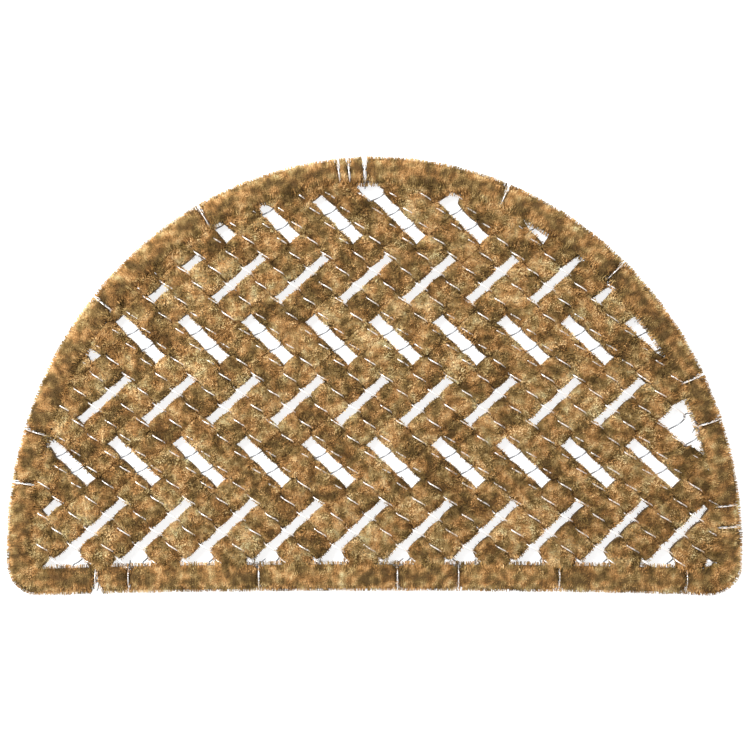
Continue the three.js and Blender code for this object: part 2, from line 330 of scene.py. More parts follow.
def inset_map():
    """How far points of a plain grid lie inside the outer edge: their distance along the nearest way in."""
    xs = np.arange(-MAT_WIDTH / 2 - MAP_MARGIN, MAT_WIDTH / 2 + MAP_MARGIN + MAP_SPACING, MAP_SPACING)
    ys = np.arange(-MAT_DEPTH / 2 - MAP_MARGIN, MAT_DEPTH / 2 + MAP_MARGIN + MAP_SPACING, MAP_SPACING)
    along = np.arange(0, EDGE_LENGTH, EDGE_SPACING)
    edge, inward = edge_point(along), edge_ways(along)[1]
    rows = []
    for y in ys:
        plan = np.stack([xs, np.full(len(xs), y)], axis=1)
        nearest = np.argmin(((plan[:, None] - edge) ** 2).sum(axis=2), axis=1)
        rows.append(((plan - edge[nearest]) * inward[nearest]).sum(axis=1))
    return xs, ys, np.stack(rows)


MAP_X, MAP_Y, MAP_INSET = inset_map()


def inset_at(plan):
    """How far plan points lie inside the outer edge, read from the grid between its four nearest points."""
    column = np.clip((plan[..., 0] - MAP_X[0]) / MAP_SPACING, 0, len(MAP_X) - 1.001)
    row = np.clip((plan[..., 1] - MAP_Y[0]) / MAP_SPACING, 0, len(MAP_Y) - 1.001)
    i, j = column.astype(int), row.astype(int)
    s, t = column - i, row - j
    low = MAP_INSET[j, i] * (1 - s) + MAP_INSET[j, i + 1] * s
    high = MAP_INSET[j + 1, i] * (1 - s) + MAP_INSET[j + 1, i + 1] * s
    return low * (1 - t) + high * t


def pulled(plan):
    """Plan points of the even mesh, moved to where the mesh is pulled out of true.

    x less a narrowing for each height up the mat, plus a bow with the height's square. y less a sag with the
    height's square and a tilt for each distance to the right.
    """
    x, share = plan[..., 0], plan[..., 1] / PULL_HEIGHT
    return np.stack([
        x * (1 - PULL_NARROWING * share) + PULL_BOW * share**2,
        plan[..., 1] - PULL_SAG * share**2 - PULL_TILT * x,
    ], axis=-1)


def unpulled(plan):
    """The even mesh's plan points for these pulled ones, by taking off what the pull adds four times over."""
    even = plan
    for _ in range(4):
        even = even + plan - pulled(even)
    return even


def spiral(column, rows):
    """A flattened spiral between two columns of corners: an ellipse carried down the mat.

    Half a turn for each row: x = axis - half width * cos turn, z = middle + half depth * sin turn. The wire
    behind sags a little towards the base.
    """
    turn = np.pi * (rows - (column + 1) % 2)
    wander = SPIRAL_WANDER * np.sin(1.7 * rows + 2.4 * column)
    x = FIRST_CELL[0] + CELL_HALF_WIDTH * (column + 0.5) + ROW_SLIP * rows - SPIRAL_HALF_WIDTH * np.cos(turn)
    y = FIRST_CELL[1] - CELL_HALF_HEIGHT * rows + SPIRAL_WANDER * np.sin(2.3 * rows + 1.1 * column)
    y -= BACK_SAG * np.clip(-np.sin(turn), 0, 1) ** 2
    z = SPIRAL_MID_HEIGHT + SPIRAL_HALF_DEPTH * np.sin(turn)
    plan = pulled(np.stack([x + wander, y], axis=1))
    return np.concatenate([plan, (z + wander)[:, None]], axis=1)


def nearest_along(plan):
    """The distance along the outer edge of the place nearest to a plan point."""
    return EDGE_ALONG[np.argmin(np.hypot(*(EDGE - plan).T))]


def rod_hook(end, lead):
    """A wire end turned round the frame rod: a short helix about the rod, led to from the spiral's end."""
    along = nearest_along(end[:2])
    t = np.linspace(0, 1, HOOK_STEPS)
    turn = np.pi * HOOK_START + 2 * np.pi * HOOK_TURNS * t
    radius = ROD_RADIUS + MESH_WIRE_RADIUS * HOOK_SLACK
    loop = inside_edge(
        along + lead * HOOK_ADVANCE * (t - 0.5),
        BORDER_WIDTH + radius * np.cos(turn),
        MID_HEIGHT + radius * np.sin(turn),
    )
    bridge = end + (loop[0] - end) * HOOK_LEAD[:, None]
    return np.vstack([bridge, loop])


def mesh_wires():
    """Every spiral that lies inside the rod, with a hook at each end."""
    rows = np.arange(TOP_ROW, BOTTOM_ROW, 1 / MESH_STEPS_PER_ROW)
    wires = []
    for column in range(-COLUMNS, COLUMNS):
        path = spiral(column, rows)
        held = np.flatnonzero(inset_at(path[:, :2]) > SPIRAL_END_INSET)
        if len(held) < MESH_STEPS_PER_ROW:
            continue
        path = path[held[0] : held[-1] + 1]
        whole = np.vstack([rod_hook(path[0], 1)[::-1], path, rod_hook(path[-1], -1)])
        wires.append(wire(whole, MESH_WIRE_RADIUS, MESH_WIRE_SIDES, NEARLY_DOWN_THE_MAT))
    return joined(wires)


# The mesh wire: painted shade below 13 mm over the floor, a painted highlight above
piece("wire_mesh", mesh_wires(), galvanised("zinc of the mesh", 13 * MM))

# Coir tufts. Bundles of coir fibre stand on end in the cells of the mesh, which grips them at the waist,
# and both faces are cut level. The wire parts them in a groove, and cells left empty make the herringbone.
FIELD_INSET = BORDER_WIDTH + ROD_RADIUS + 0.3 * MM

# Empty cells of one repeat. A falling gap is a row of them down to the right, and a rising one up to it.
FALLING_GAP = 1
RISING_GAP = 2
CLOSING_GAP = 3
REPEAT_COLUMNS = 4
REPEAT_ROWS = 8
EMPTY_CELLS = [
    {"gap": FALLING_GAP, "column": 3, "row": 7},
    {"gap": FALLING_GAP, "column": 0, "row": 0},
    {"gap": FALLING_GAP, "column": 1, "row": 1},
    {"gap": RISING_GAP, "column": 3, "row": 3},
    {"gap": RISING_GAP, "column": 2, "row": 4},
    {"gap": RISING_GAP, "column": 1, "row": 5},
]

# At the base each rising gap runs on through two more cells, and by the border some cells break the pattern.
BASE_CELLS = [{"column": 0, "row": 14}, {"column": 1, "row": 15}]
ODD_CELLS = [
    {"gap": 0, "column": -14, "row": -4},
    {"gap": 0, "column": -22, "row": 12},
    {"gap": RISING_GAP, "column": 18, "row": 6},
    {"gap": RISING_GAP, "column": 19, "row": 5},
    {"gap": RISING_GAP, "column": 4, "row": -10},
    {"gap": RISING_GAP, "column": -2, "row": -10},
    {"gap": CLOSING_GAP, "column": 19, "row": 11},
]

# How far coir spreads over a cell's falling and rising sides: to its neighbour, or into each kind of gap
GROOVE_OVERLAP = 0.6 * MM
SPREAD_OVER_FALLING = np.array([GROOVE_OVERLAP, 4.6 * MM, GROOVE_OVERLAP, 5.5 * MM])
SPREAD_OVER_RISING = np.array([GROOVE_OVERLAP, 1.7 * MM, 6.2 * MM, 6.2 * MM])

# How far the coir's top falls at its sides: where a wire parts it, where two tufts join, by a gap and a rod
GROOVE_DROP = 4.8 * MM
JOINT_DROP = 1.2 * MM
FILLED_DROP = np.array([JOINT_DROP, GROOVE_DROP] * 2)
GAP_DROP = 5 * MM
RIM_DROP = 2.2 * MM
ROD_OVERHANG = 5 * MM
CORNER_FILL = 4 * MM
CORNER_REACH = 14 * MM
EDGE_ROLL = 6 * MM

# The tufts: their tips, how far their fibres stand out over a gap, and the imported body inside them
TIP_HEIGHT = 24.4 * MM
BODY_BELOW_TIPS = 4.5 * MM
BODY_INSIDE_FRINGE = 1.4 * MM
FRINGE = 2.05 * MM
SCALLOP = 0.15
BODY_FOOT = 1.2 * MM
BODY_UNEVEN = 0.5 * MM
TUFT_SIDES = 16
SHARP_CORNER = 14
FREE_CORNER = 8
CORNER_BLEND = 8
MIDDLE_GRID = np.linspace(-0.45, 0.45, 9)
FEWEST_SPOTS = 3
CUT_HALVINGS = 12

FALLING_STEP = np.array([CELL_HALF_WIDTH + ROW_SLIP, -CELL_HALF_HEIGHT])
RISING_STEP = np.array([CELL_HALF_WIDTH - ROW_SLIP, CELL_HALF_HEIGHT])
CELL_AREA = FALLING_STEP[0] * RISING_STEP[1] - FALLING_STEP[1] * RISING_STEP[0]
ACROSS_FALLING = CELL_AREA / np.hypot(*FALLING_STEP)
ACROSS_RISING = CELL_AREA / np.hypot(*RISING_STEP)
ACROSS_SIDES = np.array([ACROSS_RISING, ACROSS_FALLING] * 2)

# Coir's colour: streaks that fan out in each tuft, clumps and patches of it, and its casts of olive and rust
STREAKS_ROUND = 3.6
STREAK_LENGTH = 9 * MM
COIR_PATCH = 24 * MM
COIR_CLUMP = 7.5 * MM
CAST_PATCH = 12 * MM
FIBRE_GRAIN = 0.9 * MM
CUT_END_SIZE = 1.3 * MM
CUT_END_DEPTH = 1.2 * MM
DEEP_SHADE = (0.060, 0.032, 0.012, 1)
COIR_BROWNS = [
    (0.00, (0.085, 0.045, 0.011, 1)),
    (0.30, (0.236, 0.134, 0.047, 1)),
    (0.55, (0.440, 0.268, 0.120, 1)),
    (0.80, (0.585, 0.428, 0.240, 1)),
    (1.00, (0.720, 0.590, 0.385, 1)),
]
OLIVE_CAST = (0.91, 1.01, 0.88, 1)
RUST_CAST = (1.10, 0.97, 0.76, 1)


def gap_kind(column, row):
    """0 for a filled cell, or the kind of gap that an empty one belongs to."""
    kind = np.zeros(np.broadcast(column, row).shape, int)
    for cell in EMPTY_CELLS:
        kind[(column % REPEAT_COLUMNS == cell["column"]) & (row % REPEAT_ROWS == cell["row"])] = cell["gap"]
    for cell in BASE_CELLS:
        kind[(column % REPEAT_COLUMNS == cell["column"]) & (row == cell["row"])] = RISING_GAP
    for cell in ODD_CELLS:
        kind[(column == cell["column"]) & (row == cell["row"])] = cell["gap"]
    return kind


def cell_centre(column, row):
    """The middle of a mesh cell: the first cell's, plus a half cell for each column and row."""
    x = FIRST_CELL[0] + CELL_HALF_WIDTH * column + ROW_SLIP * row
    return np.stack([x, FIRST_CELL[1] - CELL_HALF_HEIGHT * row], axis=-1)


def cell_sides(column, row):
    """What each cell meets at its four sides, in the order lower right, upper right, upper left, lower left.

    Gives the kind of gap there, and how far the coir reaches that way from the middle, in cells.
    """
    kinds = [gap_kind(column + i, row + j) for i, j in ((1, 1), (1, -1), (-1, -1), (-1, 1))]
    spreads = [SPREAD_OVER_RISING / ACROSS_RISING, SPREAD_OVER_FALLING / ACROSS_FALLING] * 2
    reach = [0.5 + spread[kind] for kind, spread in zip(kinds, spreads)]
    return np.stack(kinds, axis=-1), np.stack(reach, axis=-1)


def side_drops(kinds):
    """How far the coir's top falls away at each side: a groove, a joint, or the open edge of a gap."""
    return np.where(kinds == 0, FILLED_DROP, GAP_DROP)


def fringe(share):
    """How far coir stands out over a gap: most at the middle of a tuft's side, share 0, least at its ends."""
    return FRINGE * (1 + SCALLOP * np.cos(2 * np.pi * share))


def filled_cells():
    """Columns and rows of the filled cells that lie at least partly inside the rod."""
    row, column = np.mgrid[TOP_ROW : BOTTOM_ROW + 1, -COLUMNS : COLUMNS + 1]
    keep = ((column + row) % 2 == 0) & (gap_kind(column, row) == 0)
    keep &= inset_at(pulled(cell_centre(column, row))) > FIELD_INSET - CELL_HALF_HEIGHT
    return column[keep], row[keep]


def tuft_tone(column, row):
    """How light a cell's bundle of coir is, from 0 to 1, fixed by its column and row."""
    return np.modf(np.abs(np.sin(column * 12.9898 + row * 78.233) * 437.585))[0]


def fanned(offset, tone):
    """Coordinates for streaks that fan out from a tuft's middle: the way out from it, and how far out."""
    far = np.linalg.norm(offset, axis=-1, keepdims=True)
    way = STREAKS_ROUND * offset / np.maximum(far, 0.1 * MM)
    return np.concatenate([way, far / STREAK_LENGTH + 50 * tone[..., None]], axis=-1)


def round_the_cell():
    """Points round a cell: their shares of its falling and rising steps, and the sides that they are by.

    Each share runs evenly from -1 to 1 along two sides and stays at 1 or -1 along the other two.
    """
    turn = np.arange(TUFT_SIDES) * 4 / TUFT_SIDES
    side = turn.astype(int)
    share = 2 * (turn - side) - 1
    ones = np.ones(TUFT_SIDES)
    falling = np.choose(side, [ones, -share, -ones, share])
    rising = np.choose(side, [share, ones, -share, -ones])
    return falling, rising, np.where(falling > 0, 0, 2), np.where(rising > 0, 1, 3)


def tuft_outlines(column, row):
    """The outline of each tuft as it spreads from its cell: a rhombus with round corners.

    The corners follow |falling|^n + |rising|^n = 1, with a lower n where two gaps meet and the coir is free.
    """
    kinds, reach = cell_sides(column, row)
    falling, rising, falling_side, rising_side = round_the_cell()
    free = (kinds[:, falling_side] > 0) & (kinds[:, rising_side] > 0)
    sharpness = np.where(free, FREE_CORNER, SHARP_CORNER)
    corner = (np.abs(falling) ** sharpness + np.abs(rising) ** sharpness) ** (-1 / sharpness)
    over_rising = (kinds[:, falling_side] > 0) * (fringe(rising / 2) - BODY_INSIDE_FRINGE)
    over_falling = (kinds[:, rising_side] > 0) * (fringe(falling / 2) - BODY_INSIDE_FRINGE)
    along = corner * falling * (reach[:, falling_side] + over_rising / ACROSS_RISING)
    across = corner * rising * (reach[:, rising_side] + over_falling / ACROSS_FALLING)
    middle = cell_centre(column, row)
    return pulled(middle[:, None] + along[..., None] * FALLING_STEP + across[..., None] * RISING_STEP)


def tuft_middles(column, row):
    """The middle of what lies inside the rod of each cell, and whether enough does to hold a tuft."""
    falling, rising = MIDDLE_GRID[:, None, None] * FALLING_STEP, MIDDLE_GRID[None, :, None] * RISING_STEP
    spots = pulled(cell_centre(column, row)[:, None, None] + falling + rising)
    inside = inset_at(spots) > FIELD_INSET
    number = inside.sum(axis=(1, 2))
    weight = inside[..., None] / np.maximum(number, 1)[:, None, None, None]
    return (spots * weight).sum(axis=(1, 2)), number > FEWEST_SPOTS


def cut_at_rod(outline, middle, by_gap):
    """Outlines drawn back to the rod where they pass it, and which of their points were.

    A corner between a gap and the rod is filled out first. The place on the rod is found by halving the way
    from the tuft's middle to the outline.
    """
    away = outline - middle[:, None]
    close = np.clip(1 - (inset_at(outline) - FIELD_INSET) / CORNER_REACH, 0, 1) ** 2
    away /= np.linalg.norm(away, axis=-1, keepdims=True)
    outline = outline + CORNER_FILL * (close * by_gap)[..., None] * away
    near, far = np.zeros(outline.shape[:2]), np.ones(outline.shape[:2])
    for _ in range(CUT_HALVINGS):
        tried = (near + far) / 2
        within = inset_at(middle[:, None] + tried[..., None] * (outline - middle[:, None])) > FIELD_INSET
        near, far = np.where(within, tried, near), np.where(within, far, tried)
    cut = inset_at(outline) < FIELD_INSET
    drawn_back = middle[:, None] + near[..., None] * (outline - middle[:, None])
    return np.where(cut[..., None], drawn_back, outline), cut


def tuft_faces(rings):
    """The walls of one tuft from ring to ring, and its foot and top, each closed at a middle point."""
    first = np.arange(TUFT_SIDES)
    second = np.roll(first, -1)
    last = TUFT_SIDES * (rings - 1)
    foot = np.full(TUFT_SIDES, TUFT_SIDES * rings)
    ends = np.concatenate([
        np.stack([foot, second, first], axis=1),
        np.stack([last + first, last + second, foot + 1], axis=1),
    ])
    return grid_faces(rings, TUFT_SIDES), ends


def tuft_bodies(seed):
    """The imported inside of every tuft, a little below the fibre ends.

    Each outline is scaled from its middle and raised ring by ring: wide at the foot, drawn in where the wire
    grips it, wide again above, and rolled over at the top by its sides' drops.
    """
    chance = np.random.default_rng(seed)
    column, row = filled_cells()
    kinds = cell_sides(column, row)[0]
    drops = side_drops(kinds)
    falling, rising, falling_side, rising_side = round_the_cell()
    middle, kept = tuft_middles(column, row)
    nearest_side = np.where(np.abs(falling) > np.abs(rising), falling_side, rising_side)
    outline, cut = cut_at_rod(tuft_outlines(column, row), middle, kinds[:, nearest_side] > 0)
    overhang = ROD_OVERHANG / np.maximum(np.linalg.norm(outline - middle[:, None], axis=-1), ROD_OVERHANG)
    over_rod = 1 + np.where(cut, overhang, 0)

    by_falling, by_rising = np.abs(falling) ** CORNER_BLEND, np.abs(rising) ** CORNER_BLEND
    blend = by_falling / (by_falling + by_rising)
    drop = blend * drops[:, falling_side] + (1 - blend) * drops[:, rising_side]
    drop = np.where(cut, RIM_DROP, drop)
    top = TIP_HEIGHT - BODY_BELOW_TIPS + chance.uniform(-BODY_UNEVEN, BODY_UNEVEN, len(column))
    rings = [
        {"out": 0.55, "height": BODY_FOOT, "fall": 0},
        {"out": 0.86, "height": BODY_FOOT + 0.8 * MM, "fall": 0},
        {"out": 0.98, "height": BODY_FOOT + 3 * MM, "fall": 0},
        {"out": 0.95, "height": MID_HEIGHT + 1.0 * MM, "fall": 0},
        {"out": 1.00, "height": top, "fall": 1.0},
        {"out": 0.84, "height": top, "fall": 0.32},
        {"out": 0.55, "height": top, "fall": 0},
    ]
    heights = [np.broadcast_to(ring["height"], len(top))[:, None] - ring["fall"] * drop for ring in rings]
    stretch = [np.ones(cut.shape)] * 4 + [over_rod] * 3
    plans = [
        middle[:, None] + (ring["out"] * grown)[..., None] * (outline - middle[:, None])
        for ring, grown in zip(rings, stretch)
    ]
    bands = [np.concatenate([plan, z[..., None]], axis=2) for plan, z in zip(plans, heights)]
    pole_heights = [np.full(len(top), BODY_FOOT), top]
    poles = [np.concatenate([middle, z[:, None]], axis=1)[:, None] for z in pole_heights]
    points = np.concatenate([*bands, *poles], axis=1)[kept]

    starts = (np.arange(len(points)) * points.shape[1])[:, None, None]
    walls, ends = tuft_faces(len(rings))
    faces = [(walls + starts).reshape(-1, 4), (ends + starts).reshape(-1, 3)]
    tone = np.repeat(tuft_tone(column[kept], row[kept])[:, None], points.shape[1], axis=1)
    comb = fanned(points[..., :2] - middle[kept][:, None], tone)
    return (points.reshape(-1, 3), faces), {"tone": tone.ravel(), "comb": comb.reshape(-1, 3)}


def coir(name, fibres):
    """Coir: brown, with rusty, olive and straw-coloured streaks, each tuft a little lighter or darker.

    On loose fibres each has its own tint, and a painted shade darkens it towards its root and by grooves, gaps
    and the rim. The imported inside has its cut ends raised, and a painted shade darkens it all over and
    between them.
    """
    finish, shader, place = new_finish(name, 0.85)
    shader.inputs["Specular IOR Level"].default_value = 0.2
    # On the border the tone mark also carries a painted shade, darker inwards
    tone = place.node("ShaderNodeAttribute", {"attribute_name": "tone"}, output="Fac")
    patch = place.noise(COIR_PATCH, detail=2)
    clump = place.noise(COIR_CLUMP, detail=0.5)
    comb = place.node("ShaderNodeAttribute", {"attribute_name": "comb"}, output="Vector")
    streak = comb.noise(1.0, detail=1)
    light = clump * 1.25 + streak * 0.62 + tone * 0.28 + patch * 1.5
    if fibres:
        tint = place.node("ShaderNodeAttribute", {"attribute_name": "tint"}, output="Fac")
        # Painted shade: the reach mark darkens each fibre towards its root and by grooves, gaps and the rim
        reach = place.node("ShaderNodeAttribute", {"attribute_name": "reach"}, output="Fac")
        light = light + tint * 0.08 - 1.39
        depth = reach
    else:
        # Painted shade on the imported inside: darker all over and between its raised cut ends
        ends = place.node("ShaderNodeTexVoronoi", None, {"Vector": place, "Scale": 1 / CUT_END_SIZE})
        grain = place.noise(FIBRE_GRAIN, stretch=(1, 1, 0.12))
        light = light + grain * 0.35 - ends * 0.25 - 1.495
        depth = 0.75 - ends * 0.5
        feed(shader, "Normal", (grain * 0.4 - ends * 0.6).bump(CUT_END_DEPTH))
    brown = light.node("ShaderNodeValToRGB", {"stops": COIR_BROWNS}, {"Fac": light})
    cast = (place.noise(CAST_PATCH, detail=0.7) * 4.8 - 1.9).between(OLIVE_CAST, RUST_CAST)
    coloured = brown.node("ShaderNodeVectorMath", {"operation": "MULTIPLY"}, {0: brown, 1: cast})
    feed(shader, "Base Color", depth.between(DEEP_SHADE, coloured))
    return finish


coir_body = coir("coir packed in the mesh", fibres=False)
coir_fibre = coir("coir fibre ends", fibres=True)
tufts, tuft_marks = tuft_bodies(seed=11)
piece("coir_tufts", tufts, coir_body, ["coir_field"], tuft_marks)

# Coir ends. The fibres of each tuft stand out of its packed inside, splay over gaps and grooves, and are
# cut level. They are thin three-sided strands, on the upper face in two halves and on the underside in one.
FIBRE_RADIUS = 0.36 * MM
FIBRE_LENGTH = 8 * MM
FIBRES_ABOVE = 46000
FIBRES_BELOW = 34000
SPOTS_TRIED = 4
RIM_OVERHANG = 3.6 * MM

# How far fibres lean for each unit of their height
GAP_SPLAY = 0.75
GROOVE_SPLAY = 0.45
JOINT_SPLAY = 0.22
FILLED_SPLAY = np.array([JOINT_SPLAY, GROOVE_SPLAY] * 2)
SPLAY_REACH = 7 * MM
FREE_LEAN = 0.11
CLUMP_SIZE = 3.5 * MM
CLUMP_LEAN = 0.40
TUFT_LEAN = 0.12

# How much of its light the coir keeps at a fibre's root, and loses at each kind of side
ROOT_SHADE = 0.80
JOINT_SHADE = 0.06
GROOVE_SHADE = 0.45
FILLED_SHADE = np.array([JOINT_SHADE, GROOVE_SHADE] * 2)
GAP_SHADE = 0.05
RIM_SHADE = 0.12
RIM_SHADE_REACH = 10 * MM
DEEPEST_SHADE = 0.7


def field_spots(chance, count, low_x, high_x):
    """Random plan points on the coir between two x values, evenly spread, with the tuft each belongs to.

    A point is the first cell + along * falling step + across * rising step. The whole parts of both shares
    give its cell, or the filled cell whose coir spreads over it, and the rest its place there.
    """
    tries = SPOTS_TRIED * count
    plan = np.stack([
        chance.uniform(low_x, high_x, tries),
        chance.uniform(-MAT_DEPTH / 2, MAT_DEPTH / 2, tries),
    ], axis=1)
    plan = plan[inset_at(plan) > FIELD_INSET - RIM_OVERHANG]
    offset = unpulled(plan) - FIRST_CELL
    along = (offset[:, 0] * RISING_STEP[1] - offset[:, 1] * RISING_STEP[0]) / CELL_AREA
    across = (FALLING_STEP[0] * offset[:, 1] - FALLING_STEP[1] * offset[:, 0]) / CELL_AREA
    a, b = np.rint(along).astype(int), np.rint(across).astype(int)
    kind = gap_kind(a + b, a - b)
    empty = kind > 0
    to_rising = (0.5 - np.abs(along - a)) * ACROSS_RISING
    to_falling = (0.5 - np.abs(across - b)) * ACROSS_FALLING
    close = CORNER_FILL * np.clip(1 - (inset_at(plan) - FIELD_INSET) / CORNER_REACH, 0, 1) ** 2
    past_rising = to_rising - SPREAD_OVER_RISING[kind] - fringe(across - b) - close
    past_falling = to_falling - SPREAD_OVER_FALLING[kind] - fringe(along - a) - close
    over_rising = empty & (past_rising < 0)
    over_falling = empty & (past_falling < 0)
    nearer = past_rising < past_falling
    next_a = a + np.sign(along - a).astype(int)
    next_b = b + np.sign(across - b).astype(int)
    use_a = over_rising & (gap_kind(next_a + b, next_a - b) == 0)
    use_b = over_falling & (gap_kind(a + next_b, a - next_b) == 0)
    use_a, use_b = use_a & (nearer | ~use_b), use_b & (~nearer | ~use_a)
    a, b = np.where(use_a, next_a, a), np.where(use_b, next_b, b)
    good = np.flatnonzero(~empty | use_a | use_b)[:count]
    return plan[good], a[good], b[good], along[good] - a[good], across[good] - b[good]


def strands(root, tip, radius, spin):
    """Strands cut off square: three points round each tip, square to the strand, drawn to one at its root."""
    way = tip - root
    way /= np.linalg.norm(way, axis=1, keepdims=True)
    normal = np.cross(way, np.stack([np.cos(spin), np.sin(spin), 0.3 * np.cos(3 * spin)], axis=1))
    normal /= np.linalg.norm(normal, axis=1, keepdims=True)
    other = np.cross(way, normal)
    turn = (2 * np.pi * np.arange(3) / 3)[None, :, None]
    ring = np.cos(turn) * normal[:, None] + np.sin(turn) * other[:, None]
    ring = tip[:, None] + radius[:, None, None] * ring
    points = np.concatenate([ring, root[:, None]], axis=1).reshape(-1, 3)
    sides = np.array([[0, 1, 2], [0, 3, 1], [1, 3, 2], [2, 3, 0]])
    faces = (sides + 4 * np.arange(len(root))[:, None, None]).reshape(-1, 3)
    return points, [faces]


def lumps(plan, size):
    """Gentle unevenness from -1 to 1: two crossed sine waves of about this size, each bent by the other."""
    x, y = plan[:, 0] / size, plan[:, 1] / size
    return np.sin(3.1 * x + 1.9 * np.sin(1.7 * y)) * np.sin(2.7 * y + 1.6 * np.sin(2.3 * x))


def off_the_sides(a, b, along, across):
    """The kind of gap at each side of the tufts that hold these points, and how far off that side is."""
    kinds, reach = cell_sides(a + b, a - b)
    position = np.stack([along, across, -along, -across], axis=1)
    return kinds, np.clip((reach - position) * ACROSS_SIDES + FRINGE * (kinds > 0), 0, None)


def fibre_leans(chance, kinds, to_side, tone, clumps):
    """How far each fibre leans: outwards near a side, freely, with its clump, and with its whole tuft."""
    ways = np.stack([FALLING_STEP, RISING_STEP, -FALLING_STEP, -RISING_STEP])
    ways /= np.linalg.norm(ways, axis=1, keepdims=True)
    splay = np.where(kinds == 0, FILLED_SPLAY, GAP_SPLAY) * (1 - np.clip(to_side / SPLAY_REACH, 0, 1)) ** 1.5
    lean = (splay[..., None] * ways).sum(axis=1) + chance.normal(0, FREE_LEAN, clumps.shape)
    lean += CLUMP_LEAN * clumps
    return lean + TUFT_LEAN * np.stack([np.cos(40 * tone), np.sin(40 * tone)], axis=1)


def fibre_ends(count, low_x, high_x, above, seed):
    """Fibres of one face of the field, with the marks that their finish reads.

    A tip's height is the level face less each side's drop, times the square of its share of the roll. Its
    lean is each side's splay outwards, and the root lies one fibre's length back along it.
    """
    chance = np.random.default_rng(seed)
    plan, a, b, along, across = field_spots(chance, count, low_x, high_x)
    kinds, to_side = off_the_sides(a, b, along, across)
    to_rim = inset_at(plan) - FIELD_INSET
    rolled = (1 - np.clip(to_side / EDGE_ROLL, 0, 1)) ** 2
    fall = (side_drops(kinds) * rolled).sum(axis=1)
    fall += RIM_DROP * (1 - np.clip(to_rim / EDGE_ROLL, 0, 1)) ** 2
    tone = tuft_tone(a + b, a - b)
    clump = lumps(plan, CLUMP_SIZE)
    clumps = np.stack([clump, lumps(plan[:, ::-1], CLUMP_SIZE)], axis=1)
    lean = fibre_leans(chance, kinds, to_side, tone, clumps)
    uneven = 0.7 * clump + 0.5 * (tone - 0.5) + chance.uniform(-0.4, 0.2, len(plan))
    length = FIBRE_LENGTH * chance.uniform(0.8, 1.1, len(plan))
    direction = np.concatenate([lean, np.ones((len(plan), 1))], axis=1)
    direction /= np.linalg.norm(direction, axis=1, keepdims=True)
    if above:
        height = TIP_HEIGHT - fall + uneven * MM
    else:
        height = 0.25 * fall + 0.5 * MM * (1.9 - uneven)
        direction[:, 2] *= -1
    tip = np.concatenate([plan, height[:, None]], axis=1)
    radius = FIBRE_RADIUS * chance.uniform(0.75, 1.2, len(plan))
    shape = strands(tip - length[:, None] * direction, tip, radius, chance.uniform(0, 2 * np.pi, len(plan)))
    # Painted shade: fibres by grooves, gaps and the rim are darkened, and their roots more so
    shade = np.where(kinds > 0, GAP_SHADE, FILLED_SHADE)
    near_rim = 1 - np.clip(to_rim / RIM_SHADE_REACH, 0, 1)
    lit = 1 - np.clip((shade * rolled).sum(axis=1) + RIM_SHADE * near_rim, 0, DEEPEST_SHADE)
    marks = {
        "tint": np.repeat(chance.uniform(0, 1, len(plan)), 4),
        "tone": np.repeat(tone, 4),
        "comb": np.repeat(fanned(plan - pulled(cell_centre(a + b, a - b)), tone), 4, axis=0),
        "reach": np.stack([lit, lit, lit, ROOT_SHADE * lit], axis=1).ravel(),
    }
    return shape, marks


ends_left, marks_left = fibre_ends(FIBRES_ABOVE, -MAT_WIDTH / 2, 0, True, seed=21)
piece("coir_ends_left", ends_left, coir_fibre, ["coir_field"], marks_left)
ends_right, marks_right = fibre_ends(FIBRES_ABOVE, 0, MAT_WIDTH / 2, True, seed=22)
piece("coir_ends_right", ends_right, coir_fibre, ["coir_field"], marks_right)
ends_under, marks_under = fibre_ends(FIBRES_BELOW, -MAT_WIDTH / 2, MAT_WIDTH / 2, False, seed=23)
piece("coir_ends_underneath", ends_under, coir_fibre, ["coir_field"], marks_under)

# Border brush. Coir is wound between two twisted core wires like a bottle brush, cut to lengths, and laid
# round the rod, one length from each tie to the next. Its fibres stand out in two rows that wind round it.

# Ties by their distance along the outer edge, anticlockwise from the arch's right foot, with the width of
# the slit there and how far the brush ends open outwards at it, in millimetres.
TIES = [
    {"along": 22, "slit": 2.2, "flare": 1.4},
    {"along": 45, "slit": 1.9, "flare": 1.2},
    {"along": 136, "slit": 2.2, "flare": 1.6},
    {"along": 186, "slit": 2.4, "flare": 2.4},
    {"along": 329, "slit": 2.6, "flare": 1.8},
    {"along": 474, "slit": 2.6, "flare": 2.6},
    {"along": 628, "slit": 3.4, "flare": 3.2},
    {"along": 645, "slit": 2.2, "flare": 1.4},
    {"along": 656, "slit": 2.2, "flare": 1.8},
    {"along": 810, "slit": 2.6, "flare": 2.4},
    {"along": 954, "slit": 2.6, "flare": 1.8},
    {"along": 1110, "slit": 2.4, "flare": 1.4},
    {"along": 1166, "slit": 2.4, "flare": 2.4},
    {"along": 1364, "slit": 4.5, "flare": 6.5},
    {"along": 1398, "slit": 1.9, "flare": 1.0},
    {"along": 1532, "slit": 1.9, "flare": 1.2},
    {"along": 1675, "slit": 1.9, "flare": 1.2},
    {"along": 1738, "slit": 2.2, "flare": 1.4},
    {"along": 1842, "slit": 1.9, "flare": 1.4},
    {"along": 1973, "slit": 2.2, "flare": 1.2},
]

